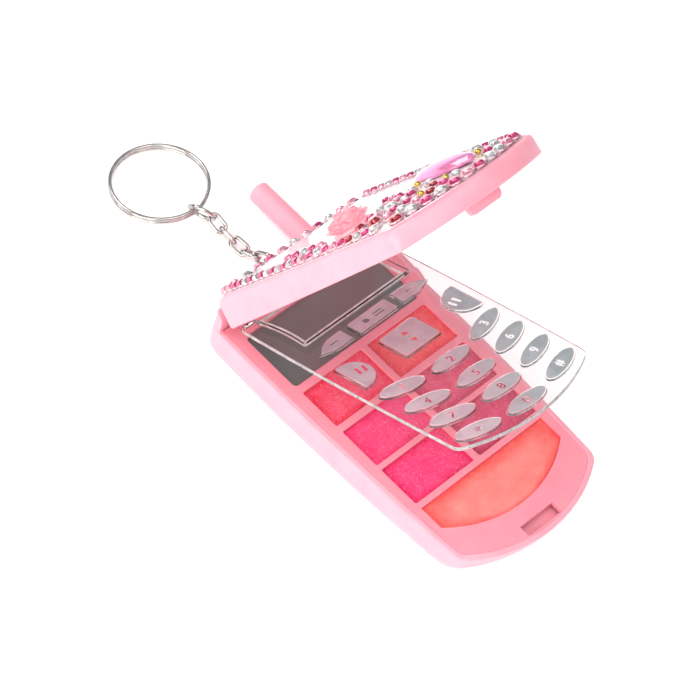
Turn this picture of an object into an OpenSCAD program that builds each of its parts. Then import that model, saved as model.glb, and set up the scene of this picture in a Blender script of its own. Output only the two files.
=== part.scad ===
// Toy cell phone make-up compact: a flip case with gloss wells and a mirror, a clear
// keypad cover and a jewelled lid on one hinge line, an antenna that is the handle of
// a lip applicator, and a short key chain.
// Units are millimetres. +X is the user's right, +Y points from the front (latch) to
// the hinge, +Z is up. The origin is the centre of the underside.

// Sub-part to build, or all of them together

/* [Case] */
// Half the case width at the front corners
front_half_w = 23; // [21:0.5:25]
// Half the case width at the hinge end
hinge_half_w = 24.9; // [23:0.1:26]
// How far the long sides bow outwards
side_bow = 0.9; // [0.3:0.1:1.2]
// How far the front edge bows outwards
front_bow = 7.4; // [6.5:0.1:8]
// Height of the case from the table to its rim
case_h = 9.5; // [9.3:0.1:10.5]
// Wall thickness of the moulded shells
wall = 1.3; // [1:0.1:1.5]
// Radius of the case's rounded bottom edge
edge_r = 3; // [1.5:0.5:3]
// How far the front wall rakes back towards the bottom
front_rake = 3.2; // [1:0.1:3.5]
// How far the side walls draw in towards the bottom at the front
side_draft = 0.3; // [0:0.1:1]
// How much further the long sides bow outwards at the bottom
bottom_bow = 0.6; // [0:0.1:0.8]

/* [Hinge] */
// Height of the hinge pin above the case rim
pin_up = 3.75; // [3.6:0.05:4]
// Radius of the hinge pins
pin_r = 0.8; // [0.7:0.05:0.9]
// Outer radius of the hinge knuckles
knuckle_r = 1.75; // [1.6:0.05:1.75]
// Radial clearance of every running fit
run_gap = 0.05; // [0.02:0.01:0.1]
// Opening angle of the clear cover as modelled
cover_open = 23.9; // [0:0.1:35]
// Opening angle of the lid as modelled
lid_open = 63.4; // [50:0.1:95]

/* [Lid] */
// Height of the lid's side wall at the hinge end
lid_h_hinge = 7.9; // [7.5:0.1:8.2]
// Height of the lid's side wall at the front
lid_h_front = 5.2; // [5:0.1:6.5]
// Rise of the lid's crown above its side walls
lid_crown = 2.3; // [1.5:0.1:2.6]

/* [Palette] */
// Half the width across a pair of wells
well_half_w = 20.5; // [19:0.1:20.5]
// Length of each rectangular well
well_len = 11.6; // [10.5:0.1:11.6]
// Depth of the wells below the rim
well_depth = 4; // [3:0.1:4.5]
// How far the gloss lies below the rim
gloss_down = 0.5; // [0.4:0.1:2]

/* [Antenna] */
// Sideways position of the antenna
antenna_x = 14; // [12:0.5:15]
// Radius of the antenna handle
antenna_r = 2.9; // [2.5:0.1:2.9]
// How far the antenna stands out behind the case
antenna_len = 23.3; // [15:0.1:30]

/* [Key chain] */
// Outer diameter of the split ring
ring_od = 25; // [24:0.5:25]
// Wire diameter of the small chain links
link_wire = 1; // [0.9:0.05:1]
// Outer length of the small chain links
link_len = 6; // [5.9:0.1:6]
// Outer width of the small chain links
link_w = 3.8; // [3.6:0.1:3.8]

/* [Hidden] */
EPS = 0.01;
// case landmarks along Y
y_front = -37.3;
y_hinge_end = 45.6;
pin_y = 43.8;
pin_z = case_h + pin_up;
y_lid_end = pin_y - 2;
lid_rim_z = case_h + 0.08;
// cover sheet
cover_t = 1.1;
cover_z = case_h + 0.1;
cover_top = cover_z + cover_t;
cover_end_y = pin_y - 4.4;
pad_h = 0.5;
foil_t = 0.14;
// key rows and columns, as distances from the hinge pin and from the middle
key_pitch_x = 14;
key_pitch_y = 7.9;
key_row_1 = 50.1;
key_sag = 1.8;
key_skew = 0.9;
key_tilt = 17;
key_len = 12.2;
key_wid = 5;
// latch
slot_w = 11;
slot_y = [-42.7, -39.6];
tab_w = 9.8;
tab_drop = 2.3;
slot_depth = 2.6;
// wells
divider = 1.6;
well_y = [-14.35, -1.35, 12.1];
well_r = 0.5;
cup_wall = 0.8;
plate_t = 1.2;
gloss_gap = 0.03;
pan_back_y = -21.7;
pan_side_y = -28.3;
pan_half_w = 20.3;
pan_bow = 7;
// mirror
mirror_half_w = 20.8;
mirror_y = [20, 37.2];
mirror_t = 0.9;
mirror_down = 1.1;
// applicator
vial_z = 4.7;
vial_r = 2.7;
vial_bore_r = 1.85;
vial_front_y = 21.5;
neck_len = 5;
stem_r = 0.75;
stem_end_y = 29;
tip_r = 1.4;
tip_end_y = 23.2;
// chain: it leaves the lug, sags to the table and rises to the jump ring
chain_x = 2.4;
chain_z = 5.75;
chain_yaw = 6;
lug_r = 1.5;
lug_wire_r = 0.6;
link_gap = 0.16;
wire_r = link_wire / 2;
link_tilt = [-12, -34, -20, 5, 13, 22];
link_roll = [12, -69, 36, -40, 65, -14];
lug_y = y_hinge_end + lug_r + 0.3;
jump_od = 7.8;
jump_wire_r = 0.5;
jump_yaw = 23.5;
jump_roll = -23;
ring_wire_r = 0.5;
ring_yaw = 5.2;

// point on the circular arc from a to b that bows by sag to the right of a->b, t = 0..1
function arc_point(a, b, sag, t) =
    let (d = b - a, half = norm(d) / 2, r = (half * half + sag * sag) / (2 * sag),
         u = d / norm(d), n = [u[1], -u[0]], spread = asin(half / r),
         c = (a + b) / 2 - n * (r - sag), ang = -spread + 2 * spread * t)
    c + n * r * cos(ang) + u * r * sin(ang);

// rounded corner between p and q around the corner point c
function corner(p, c, q, n) =
    [for (i = [0:n]) let (t = i / n) (1 - t) * (1 - t) * p + 2 * t * (1 - t) * c + t * t * q];

// closed plan outline, counter-clockwise from the hinge end's left corner
function plan(hw_h, hw_f, y_h, y_f, bow_s, bow_f, cut_h, cut_f) =
    let (al = [-hw_h, y_h], bl = [-hw_f, y_f], br = [hw_f, y_f], ar = [hw_h, y_h],
         len_s = y_h - y_f, ts = cut_h / len_s, tf = cut_f / len_s, tw = cut_f / (2 * hw_f),
         ls = [for (i = [0:9]) arc_point(al, bl, bow_s, ts + (1 - ts - tf) * i / 9)],
         fr = [for (i = [0:15]) arc_point(bl, br, bow_f, tw + (1 - 2 * tw) * i / 15)],
         rs = [for (p = ls) [-p[0], p[1]]])
    concat(ls, corner_inner(ls[9], bl, fr[0]), fr,
           corner_inner(fr[15], br, rs[9]), reversed(rs),
           corner_inner(rs[0], ar, [hw_h - cut_h, y_h]), [[hw_h - cut_h, y_h]],
           [[-(hw_h - cut_h), y_h]], corner_inner([-(hw_h - cut_h), y_h], al, ls[0]));

function corner_inner(p, c, q) = let (k = corner(p, c, q, 4)) [k[1], k[2], k[3]];
function reversed(v) = [for (i = [len(v) - 1:-1:0]) v[i]];
function part_plan(inset, y_h) =
    plan(hinge_half_w - inset, front_half_w - inset, y_h - inset, y_front + inset * 0.75,
         side_bow, front_bow - inset * 0.25, 3.5 - inset * 0.4, 2 - inset * 0.2);

// half the lid's and case's width at a given y
function half_w_at(y) =
    let (t = (y - y_front) / (y_hinge_end - y_front))
    front_half_w + (hinge_half_w - front_half_w) * t + side_bow * 4 * t * (1 - t);

// rings of equal point counts joined into one closed solid; low and high are the end points,
// or undef where the end ring is flat
module loft(rings, low, high) {
    n = len(rings[0]);
    m = len(rings);
    pts = concat([for (r = rings) for (p = r) p], low == undef ? [] : [low], high == undef ? [] : [high]);
    i_low = n * m;
    i_high = low == undef ? n * m : n * m + 1;
    sides = [for (k = [0:m - 2]) for (i = [0:n - 1]) for (h = [0:1])
        let (a = k * n + i, b = k * n + (i + 1) % n, c = a + n, d = b + n)
        h == 0 ? [a, c, b] : [b, c, d]];
    bottom = low == undef ? [[for (i = [0:n - 1]) i]]
        : [for (i = [0:n - 1]) [i_low, i, (i + 1) % n]];
    top = high == undef ? [[for (i = [n - 1:-1:0]) (m - 1) * n + i]]
        : [for (i = [0:n - 1]) [i_high, (m - 1) * n + (i + 1) % n, (m - 1) * n + i]];
    polyhedron(pts, concat(sides, bottom, top), convexity = 6);
}

// flat outline moved up to a height
function at_z(v, z) = [for (p = v) [p[0], p[1], z]];

module plan_prism(inset, y_h, z, h) {
    translate([0, 0, z]) linear_extrude(h) polygon(part_plan(inset, y_h));
}

module rounded_rect(w, l, r) {
    square([w - 2 * r, l], center = true);
    square([w, l - 2 * r], center = true);
    for (sx = [-1, 1], sy = [-1, 1])
        translate([sx * (w / 2 - r), sy * (l / 2 - r)]) circle(r, $fn = 24);
}

// tube or rod along X centred on the hinge line
module hinge_rod(r, x0, x1) {
    translate([x0, pin_y, pin_z]) rotate([0, 90, 0]) cylinder(h = x1 - x0, r = r, $fn = 48);
}

// turns children modelled closed to an opening angle about the hinge line
module opened(angle) {
    translate([0, pin_y, pin_z]) rotate([-angle, 0, 0]) translate([0, -pin_y, -pin_z]) children();
}

// knuckle layout outwards from the middle, mirrored on both sides
lid_knuckle = [14.2, 17.8];
cover_knuckle = [18, 21.3];
ear = [21.5, 24.6];

// outline of the case at a height: the front wall rakes back and the sides draw in below
function case_ring(inset, z) =
    let (t = 1 - z / case_h, k = side_draft * t)
    [for (p = plan(hinge_half_w - inset - k * 0.4, front_half_w - inset - k, y_hinge_end - inset,
                   y_front + inset * 0.75 + front_rake * pow(t, 1.3), side_bow + bottom_bow * t,
                   front_bow - inset * 0.25, 3.5 - inset * 0.4, 2 + t * 2 - inset * 0.2)) [p[0], p[1], z]];

module case_skin() {
    steps = [0, 22.5, 45, 67.5, 90];
    loft(concat(
        [for (a = steps) case_ring(edge_r * (1 - sin(a)), edge_r * (1 - cos(a)))],
        [for (z = [4.5, 6, 7.5]) case_ring(0, z)],
        [case_ring(0, case_h - 0.35), case_ring(0.1, case_h - 0.1), case_ring(0.35, case_h)]));
}

// room inside the case, with a ledge under the palette's edge
module case_cavity() {
    ledge_z = case_h - plate_t - 0.2;
    loft(concat([for (z = [wall, 3.5, 6]) case_ring(wall, z)],
                [case_ring(wall, ledge_z),
                 at_z(part_plan(wall, y_hinge_end), ledge_z + 0.15),
                 at_z(part_plan(wall, y_hinge_end), case_h + 1)]));
}

module ears() {
    intersection() {
        plan_prism(0.1, y_hinge_end, 0, pin_z + knuckle_r + 1);
        for (s = [-1, 1]) {
            hinge_rod(knuckle_r, s > 0 ? ear[0] : -ear[1], s > 0 ? ear[1] : -ear[0]);
            translate([s > 0 ? ear[0] : -ear[1], pin_y - knuckle_r, case_h - 2])
                cube([ear[1] - ear[0], 2 * knuckle_r, pin_z - case_h + 2]);
        }
    }
}

module lug() {
    translate([chain_x, lug_y, chain_z]) rotate([0, 90, 0])
        rotate_extrude($fn = 48) translate([lug_r, 0]) circle(lug_wire_r, $fn = 24);
    translate([chain_x, y_hinge_end - 0.5, chain_z]) rotate([-90, 0, 0])
        cylinder(h = 0.8, r = lug_wire_r + 0.4, $fn = 32);
}

module case() {
    color("pink") {
        difference() {
            union() {
                difference() {
                    case_skin();
                    case_cavity();
                }
                ears();
            }
            // pins pressed into the ears
            for (s = [-1, 1])
                hinge_rod(pin_r, s > 0 ? ear[0] - 1 : -pin_end, s > 0 ? pin_end : -ear[0] + 1);
            // opening for the gloss vial
            translate([antenna_x, y_hinge_end + 1, vial_z]) rotate([90, 0, 0])
                cylinder(h = wall + 2, r = vial_r + run_gap, $fn = 48);
        }
        lug();
        support_posts();
        // shelf under the latch slot
        translate([-7, slot_y[0] - 0.1, 5.2]) cube([14, 4.3, case_h - slot_depth - 5.2]);
    }
}
pin_end = ear[1] - 0.6;
pin_start = lid_knuckle[0] - 0.3;

module support_posts() {
    for (p = [[-8, 41], [9.5, -37], [-9.5, -37], [0, 41]])
        translate([p[0], p[1], wall - 0.2])
            cylinder(h = case_h - plate_t - wall + 0.2 - 0.02, r = 1.2, $fn = 32);
}

module hinge_pins() {
    color("silver") for (s = [-1, 1])
        hinge_rod(pin_r, s > 0 ? pin_start : -pin_end, s > 0 ? pin_end : -pin_start);
}

// pockets cut in the palette
module well_shape(grow) {
    rounded_rect(well_half_w - divider / 2 + 2 * grow, well_len + 2 * grow, well_r + grow);
}

module at_well(col, row) {
    translate([(col * 2 - 1) * (well_half_w / 2 + divider / 4), well_y[row], 0]) children();
}

module pan_shape(grow) {
    r = (pan_half_w * pan_half_w + pan_bow * pan_bow) / (2 * pan_bow);
    intersection() {
        translate([-pan_half_w - grow, pan_side_y - pan_bow - 2])
            square([2 * (pan_half_w + grow), pan_back_y - pan_side_y + pan_bow + 2 + grow]);
        translate([0, pan_side_y - pan_bow + r]) circle(r + grow, $fn = 160);
    }
}

module palette_tray() {
    color("lightpink") difference() {
        union() {
            translate([0, 0, case_h - plate_t]) linear_extrude(plate_t)
                polygon(part_plan(wall + run_gap, y_hinge_end));
            for (col = [0, 1], row = [0:2]) at_well(col, row)
                translate([0, 0, case_h - well_depth - cup_wall])
                    linear_extrude(well_depth) well_shape(cup_wall);
            translate([0, 0, case_h - well_depth - cup_wall])
                linear_extrude(well_depth) pan_shape(cup_wall);
            translate([0, (mirror_y[0] + mirror_y[1]) / 2, case_h - mirror_down - mirror_t - cup_wall])
                linear_extrude(mirror_down + mirror_t)
                    rounded_rect(2 * (mirror_half_w + cup_wall), mirror_y[1] - mirror_y[0] + 2 * cup_wall, 2);
        }
        for (col = [0, 1], row = [0:2]) at_well(col, row)
            translate([0, 0, case_h - well_depth]) linear_extrude(well_depth + 1) well_shape(0);
        translate([0, 0, case_h - well_depth]) linear_extrude(well_depth + 1) pan_shape(0);
        translate([0, (mirror_y[0] + mirror_y[1]) / 2, case_h - mirror_down - mirror_t])
            linear_extrude(4) rounded_rect(2 * mirror_half_w, mirror_y[1] - mirror_y[0], 1.2);
        // latch slot
        translate([-slot_w / 2, slot_y[0], 0]) cube([slot_w, slot_y[1] - slot_y[0], case_h + 1]);
        // room for the vial under the mirror
        translate([antenna_x, y_hinge_end, vial_z]) rotate([90, 0, 0])
            cylinder(h = y_hinge_end - vial_front_y + 0.5, r = vial_r + 0.1, $fn = 48);
        // room for the ears and pins
        for (s = [-1, 1])
            translate([s > 0 ? ear[0] - 0.2 : -ear[1] - 1, pin_y - knuckle_r - 0.2, 0])
                cube([ear[1] - ear[0] + 1.2, 6, case_h + 1]);
    }
}

module mirror() {
    color("slategray") translate([0, (mirror_y[0] + mirror_y[1]) / 2, case_h - mirror_down - mirror_t])
        linear_extrude(mirror_t)
            rounded_rect(2 * (mirror_half_w - 0.05), mirror_y[1] - mirror_y[0] - 0.1, 1.15);
}

module gloss(col, row) {
    at_well(col, row) translate([0, 0, case_h - well_depth + gloss_gap])
        linear_extrude(well_depth - gloss_down - gloss_gap) well_shape(-gloss_gap);
}
module gloss_red_glitter() { color("crimson") gloss(0, 2); }
module gloss_coral_red() { color("tomato") gloss(1, 2); }
module gloss_pink() { color("hotpink") gloss(0, 1); }
module gloss_raspberry() { color("palevioletred") gloss(1, 1); }
module gloss_hot_pink() { color("deeppink") gloss(0, 0); }
module gloss_berry() { color("mediumvioletred") gloss(1, 0); }
module gloss_pan_coral() {
    color("salmon") translate([0, 0, case_h - well_depth + gloss_gap])
        linear_extrude(well_depth - gloss_down - gloss_gap) pan_shape(-gloss_gap);
}

// applicator group, along Y
module y_rod(r, y0, y1) {
    translate([antenna_x, y0, vial_z]) rotate([-90, 0, 0]) cylinder(h = y1 - y0, r = r, $fn = 48);
}

module gloss_vial() {
    color("mistyrose") difference() {
        y_rod(vial_r, vial_front_y, y_hinge_end);
        y_rod(vial_bore_r, vial_front_y + 0.8, y_hinge_end + 1);
    }
}

module antenna_handle() {
    y0 = y_hinge_end + 0.1;
    dome = 1.1;
    color("pink") {
        y_rod(antenna_r, y0, y_hinge_end + antenna_len - dome);
        translate([antenna_x, y_hinge_end + antenna_len - dome, vial_z]) rotate([-90, 0, 0])
            rotate_extrude($fn = 48) intersection() {
                square([antenna_r, dome]);
                union() {
                    translate([antenna_r - dome, 0]) circle(dome, $fn = 48);
                    square([antenna_r - dome, dome]);
                }
            }
        difference() {
            y_rod(vial_bore_r - run_gap, y_hinge_end - neck_len, y0 + 0.5);
            y_rod(stem_r, y_hinge_end - neck_len - 1, y_hinge_end - neck_len + 3);
        }
    }
}

module applicator_stem() {
    color("white") y_rod(stem_r, stem_end_y, y_hinge_end - neck_len + 3);
}

module sponge_tip() {
    color("ivory") difference() {
        union() {
            y_rod(tip_r, tip_end_y + tip_r, stem_end_y + 1.2);
            translate([antenna_x, tip_end_y + tip_r, vial_z]) sphere(tip_r, $fn = 48);
        }
        y_rod(stem_r, stem_end_y, stem_end_y + 3);
    }
}

// clear cover, modelled closed and then opened
function window_plan(grow) =
    let (a = [-18.4 - grow, pin_y - 5.5 + grow], b = [-17.3 - grow, pin_y - 21.7 - grow])
    concat([for (i = [0:8]) arc_point(a, b, -0.7, i / 8)],
           [for (i = [0:8]) arc_point([-b[0], b[1]], [-a[0], a[1]], -0.7, i / 8)]);

// cover outline: shorter and narrower than the case
function cover_plan() =
    plan(21.85, 21.4, cover_end_y, pin_y - 74.3, 0.5, 5.8, 1.2, 1.6);

function oval(len_x, len_y) =
    [for (i = [0:31]) [len_x / 2 * cos(i * 11.25), len_y / 2 * sin(i * 11.25)]];

module at_key(col, row) {
    y = pin_y - key_row_1 - key_pitch_y * row - (col == 0 ? key_sag : 0) + (col == 1 ? key_skew : 0);
    translate([col * key_pitch_x, y, 0]) rotate([0, 0, col * key_tilt]) children();
}

module number_key_shapes(shrink) {
    for (col = [-1:1], row = [0:3]) at_key(col, row)
        polygon(oval(key_len - 2 * shrink, key_wid - 2 * shrink));
}

// half-moon key at one side, its straight edge outwards
module moon_shape(side, shrink) {
    r = 5.4;
    y = pin_y - 38.6;
    intersection() {
        translate([side * 18.2, y]) circle(r - shrink, $fn = 64);
        translate([side > 0 ? 10 : -19.5 + shrink, y - 8]) square([9.5 - shrink, 16]);
    }
}

module nav_shape(shrink) {
    translate([0, pin_y - 38.7]) rounded_rect(11.8 - 2 * shrink, 9.8 - 2 * shrink, 0.8);
}

module centre_soft_shape(shrink) {
    translate([0, pin_y - 26.6]) rounded_rect(12.8 - 2 * shrink, 5.3 - 2 * shrink, 0.6);
}

// pointed soft key, its blunt end inwards
module wedge_shape(side, shrink) {
    polygon([for (p = wedge_plan(shrink)) [p[0] * side, p[1]]]);
}
function wedge_plan(s) =
    let (a = [8.1 + s, pin_y - 24 - s], b = [8.1 + s, pin_y - 29 + s], tip = [17.9 - 2 * s, pin_y - 27.2],
         up = [11.5, pin_y - 24.1 - s])
    concat([b], corner(b + [5, 0.1], tip + [-1, -0.4], tip, 4), corner(tip, up + [3, 0.2], up, 5), [a]);

module clear_cover() {
    color([0.95, 0.85, 0.9, 0.5]) opened(cover_open) {
        difference() {
            union() {
                translate([0, 0, cover_z]) linear_extrude(cover_t) polygon(cover_plan());
                translate([0, 0, cover_top - EPS]) linear_extrude(1.2) polygon(window_plan(0));
                translate([0, 0, cover_top - EPS]) linear_extrude(pad_h + EPS) {
                    number_key_shapes(0);
                    nav_shape(0);
                    centre_soft_shape(0);
                    for (s = [-1, 1]) {
                        moon_shape(s, 0);
                        wedge_shape(s, 0);
                    }
                }
                for (s = [-1, 1]) cover_arm(s);
            }
            // the display block is hollow underneath
            translate([0, 0, cover_z - 1]) linear_extrude(cover_t + 1.1) polygon(window_plan(-1.1));
            for (s = [-1, 1])
                hinge_rod(pin_r + run_gap, s > 0 ? pin_start - 1 : -ear[1], s > 0 ? ear[1] : -pin_start + 1);
        }
    }
}

module cover_arm(s) {
    x0 = s > 0 ? cover_knuckle[0] : -cover_knuckle[1];
    x1 = s > 0 ? cover_knuckle[1] : -cover_knuckle[0];
    hinge_rod(knuckle_r, x0, x1);
    translate([x0, 0, 0]) rotate([90, 0, 90]) linear_extrude(x1 - x0)
        polygon([[pin_y, pin_z - knuckle_r], [pin_y - knuckle_r, pin_z], [cover_end_y - 1.4, cover_top],
                 [cover_end_y - 1.4, cover_z], [cover_end_y + 1.2, cover_z]]);
}

module foil(shrink) {
    color("silver") opened(cover_open) translate([0, 0, cover_top + pad_h])
        linear_extrude(foil_t) children();
}
module number_keys() { foil() number_key_shapes(0.35); }
module call_key() { foil() moon_shape(-1, 0.35); }
module end_key() { foil() moon_shape(1, 0.35); }
module nav_key() { foil() nav_shape(0.35); }
module centre_soft_key() { foil() centre_soft_shape(0.3); }
module left_soft_key() { foil() wedge_shape(-1, 0.3); }
module right_soft_key() { foil() wedge_shape(1, 0.3); }

// lid, modelled closed and then opened
function lid_wall_h(y) =
    lid_h_hinge + (lid_h_front - lid_h_hinge) * (y_lid_end - y) / (y_lid_end - y_front);
function dome_rise(d) = lid_crown * (1 - pow(1 - min(d, 23) / 23, 2));

// outline of the lid at an inset, with its hinge end leaning forward by lean
function lid_plan(inset, lean) =
    let (hw_f = front_half_w - inset)
    plan(hinge_half_w - inset, hw_f, y_lid_end - lean - inset, y_front + inset * 0.75, side_bow,
         min(front_bow - inset * 0.25, hw_f * 0.32), max(3 - inset * 0.3, 0.3), max(2 - inset * 0.2, 0.2));

// ring of the lid's skin: rises from the rim by a share of the wall height, plus an extra height
function lid_ring(inset, share, extra, lean) =
    [for (p = lid_plan(inset, lean)) [p[0], p[1], lid_rim_z + share * lid_wall_h(p[1]) + extra]];

// inset from the outline and forward lean of the hinge end for each ring over the top
top_insets = [3.4, 6.5, 10.5, 15, 19.5];
function top_lean(d) = 3 + min(d, 8) * 0.16;
function dome_ring(d, up) = lid_ring(d, 1, dome_rise(d) + up, top_lean(d));
lid_mid_y = (y_lid_end + y_front) / 2 - 2;
function dome_apex(up) = [0, lid_mid_y, lid_rim_z + lid_wall_h(lid_mid_y) + dome_rise(23) + up];

module lid_skin() {
    loft(concat(
        [lid_ring(0.25, 0, 0, 0), lid_ring(0, 0, 0.3, 0.05), lid_ring(0, 0.45, 0, 0.6),
         lid_ring(0, 0.82, 0, 1.2), lid_ring(0.3, 0.93, 0, 1.8), lid_ring(0.95, 1, 0, 2.5),
         lid_ring(1.9, 1, dome_rise(1.9), 3.1)],
        [for (d = top_insets) dome_ring(d, 0)]), undef, dome_apex(0));
}

module lid_cavity() {
    loft(concat(
        [lid_ring(wall, 0, -1, wall * 0.1), lid_ring(wall, 0.45, 0, 0.6), lid_ring(wall + 0.1, 0.75, -0.3, 1.2),
         lid_ring(wall + 0.9, 0.86, -0.2, 2), lid_ring(wall + 1.9, 1, dome_rise(3.2) - wall, 3)],
        [for (d = [6.5, 10.5, 15, 19.5]) dome_ring(d, -wall)]), undef, dome_apex(-wall));
}

sheet_up = 0.14;
sheet_down = 0.16;
module sheet_solid() {
    edges = [1.3, 3.4, 6.5, 10.5, 15, 19.5];
    loft(concat([for (i = [5:-1:0]) dome_ring(edges[i], -sheet_down)],
                [for (d = edges) dome_ring(d, sheet_up)]), dome_apex(-sheet_down), dome_apex(sheet_up));
}

module lid_shell() {
    color("pink") opened(lid_open) {
        difference() {
            union() {
                difference() {
                    lid_skin();
                    lid_cavity();
                    sheet_solid();
                }
                for (s = [-1, 1]) lid_arm(s);
            }
            // notches for the cover's arms
            for (s = [-1, 1])
                translate([s > 0 ? cover_knuckle[0] - 0.15 : -ear[0] + 0.1, y_lid_end - 4.2, lid_rim_z - 1])
                    cube([ear[0] - cover_knuckle[0] + 0.05, 8, pin_z + 2.1 - lid_rim_z + 1]);
            for (s = [-1, 1])
                hinge_rod(pin_r + run_gap, s > 0 ? pin_start - 1 : -ear[1], s > 0 ? ear[1] : -pin_start + 1);
        }
        latch_tab();
    }
}

module lid_arm(s) {
    x0 = s > 0 ? lid_knuckle[0] : -lid_knuckle[1];
    x1 = s > 0 ? lid_knuckle[1] : -lid_knuckle[0];
    hinge_rod(knuckle_r, x0, x1);
    translate([x0, y_lid_end - 1.4, pin_z - 1]) cube([x1 - x0, pin_y - y_lid_end + 1.4, knuckle_r + 1]);
}

module latch_tab() {
    tab_y = (slot_y[0] + slot_y[1]) / 2 - 0.7;
    low = lid_rim_z - tab_drop;
    intersection() {
        translate([0, tab_y, 0]) rotate([90, 0, 90]) translate([0, 0, -tab_w / 2]) linear_extrude(tab_w)
            polygon([[0, low], [1.2, low + 0.2], [1.35, low + 0.8], [1.2, low + 1.2], [1.2, lid_rim_z + 3.6],
                     [-1.2, lid_rim_z + 4.5], [-1.6, lid_rim_z + 0.3], [-0.1, lid_rim_z + 0.3]]);
        translate([0, tab_y + 5, lid_rim_z + 4]) rotate([90, 0, 0]) linear_extrude(10)
            rounded_rect(tab_w, 2 * (tab_drop + 4), 1.4);
    }
}

module decor_sheet() {
    color("white") opened(lid_open) sheet_solid();
}

// inset of a point on the lid's top from the nearest edge, and the plan direction in which
// the crown falls there
function seat(x, y) =
    let (arc_r = (front_half_w * front_half_w + front_bow * front_bow) / (2 * front_bow),
         arc_y = y_front - front_bow + arc_r,
         side = half_w_at(y) - abs(x),
         front = y < arc_y ? arc_r - norm([x, y - arc_y]) : 99,
         back = (y_lid_end - 3 - y) / 1.16)
    side <= front && side <= back ? [side, x < 0 ? 180 : 0]
    : front <= back ? [front, atan2(y - arc_y, x)] : [back, 90];

// places a stone on the decor sheet, square to its surface
module on_lid(x, y) {
    s = seat(x, y);
    steep = 2 * lid_crown / 23 * (1 - min(s[0], 23) / 23);
    rise = (lid_h_hinge - lid_h_front) / (y_lid_end - y_front);
    fall = [steep * cos(s[1]), steep * sin(s[1]) - rise];
    face = atan2(fall[1], fall[0]);
    translate([x, y, lid_rim_z + lid_wall_h(y) + dome_rise(s[0]) + sheet_up + glue])
        rotate([0, 0, face]) rotate([0, atan(norm(fall)), 0]) rotate([0, 0, -face]) children();
}
glue = 0.07;

// flat-backed stone with eight facets, or four when square
module gem(r, sides) {
    rotate([0, 0, 180 / sides]) {
        cylinder(h = 0.35, r = r, $fn = sides);
        translate([0, 0, 0.35]) cylinder(h = 0.3 + r * 0.4, r1 = r, r2 = r * 0.55, $fn = sides);
    }
}

module oval_gem(l, w, h, turn) {
    n = 16;
    function ring(k, z) = [for (i = [0:n - 1]) [l / 2 * k * cos(i * 360 / n), w / 2 * k * sin(i * 360 / n), z]];
    rotate([0, 0, turn]) loft([ring(1, 0), ring(1, h * 0.3), ring(0.8, h * 0.75), ring(0.5, h)], undef, undef);
}

// stones in rows, each [x, y, radius, facets, colour];
// colours: 0 clear, 1 light pink, 2 magenta, 3 red, 4 gold bead
near_tint = [1, 1, 2, 2, 0, 2, 0, 2, 0, 2, 0, 2, 0, 2, 1, 2, 0, 2, 1, 2, 3, 0, 2, 0];
function near_row() =
    [for (i = [0:23]) let (small = i < 15, y = small ? 36.4 - 2.6 * i : -3.2 - 3.35 * (i - 15))
        [-(half_w_at(y) - (small ? 2.6 : 3)), y, small ? 1.4 : 1.45, small ? 4 : 8, near_tint[i]]];
near_inner_tint = [1, 2, 0, 2, 1];
function near_inner_row() =
    [for (i = [0:4]) let (y = 11 - 3.6 * i) [-(half_w_at(y) - 6.4), y, 1.4, 8, near_inner_tint[i]]];
far_tint = [1, 2, 1, 0, 2, 1, 2, 0, 1, 2];
function far_row() =
    [for (i = [0:19]) let (y = 33.6 - 3.45 * i) [half_w_at(y) - 2.9, y, 1.3, 8, far_tint[i % 10]]];
hinge_tint = [1, 0, 1, 2, 1, 0, 1, 2, 0, 1, 1];
function hinge_row() = [for (i = [0:10]) [-19.4 + 3.88 * i, 36.9, 1.5, i % 3 == 1 ? 4 : 8, hinge_tint[i]]];

// point on an arc parallel to the front edge, at an angle from the middle
function on_front(inset, a) =
    let (arc_r = (front_half_w * front_half_w + front_bow * front_bow) / (2 * front_bow))
    [(arc_r - inset) * sin(a), y_front - front_bow + arc_r - (arc_r - inset) * cos(a)];
front_tint = [3, 0, 2, 0, 2, 1, 2, 0, 0, 1, 2];
function front_row() =
    [for (i = [0:10]) let (p = on_front(3.15, -30.5 + 6.1 * i)) [p[0], p[1], 1.7, 8, front_tint[i]]];
front_inner_tint = [0, 1, 3, 2, 0];
function front_inner_row() = concat(
    [for (i = [0:4]) let (p = on_front(7, -26.5 + 6.6 * i)) [p[0], p[1], 1.55, 8, front_inner_tint[i]]],
    [for (i = [0:1]) let (p = on_front(7, 21 + 6.4 * i)) [p[0], p[1], 1.4, 8, 2 - 2 * i]]);
bead_tint = [2, 4, 3, 4];
function bead_row() =
    [for (i = [0:3]) let (p = on_front(10.6, -22 + 7 * i))
        [p[0], p[1], bead_tint[i] == 4 ? 0.9 : 1.35, 8, bead_tint[i]]];
loose_stones = [[-6.7, -28.3, 1.5, 8, 2], [-5.4, -21.6, 1.5, 8, 2], [-2.2, -30.2, 1.3, 8, 0], [-16.4, -31, 1.4, 8, 1],
                [-13.4, -30, 1.4, 8, 2], [-9.4, -29.3, 1.2, 8, 0], [-8.2, -24.8, 1.4, 8, 1], [-4, -25.2, 1.3, 8, 0],
                [-4.6, -17.8, 1.3, 8, 1], [-4, -14, 1.2, 8, 2], [0.2, -21.8, 0.9, 8, 4], [12.6, -30.4, 0.9, 8, 4],
                [12.8, -20, 0.9, 8, 4], [-16.8, -19.4, 1.4, 4, 3], [-13.2, -19.6, 1.5, 8, 2],
                [-9.8, -19.4, 1.3, 8, 0], [-13.6, -22.9, 1.1, 8, 1]];

// larger oval stones, each [x, y, length, width, turn, colour]
ovals = [[-16.4, -25.2, 5.2, 3.4, 60, 3], [-11.6, -26.6, 4.8, 3, 100, 0], [15.8, -14, 5.4, 3.4, 80, 2],
         [16.4, -24, 5, 3.2, 100, 0], [16, -4, 5, 3.2, 85, 1]];

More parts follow.
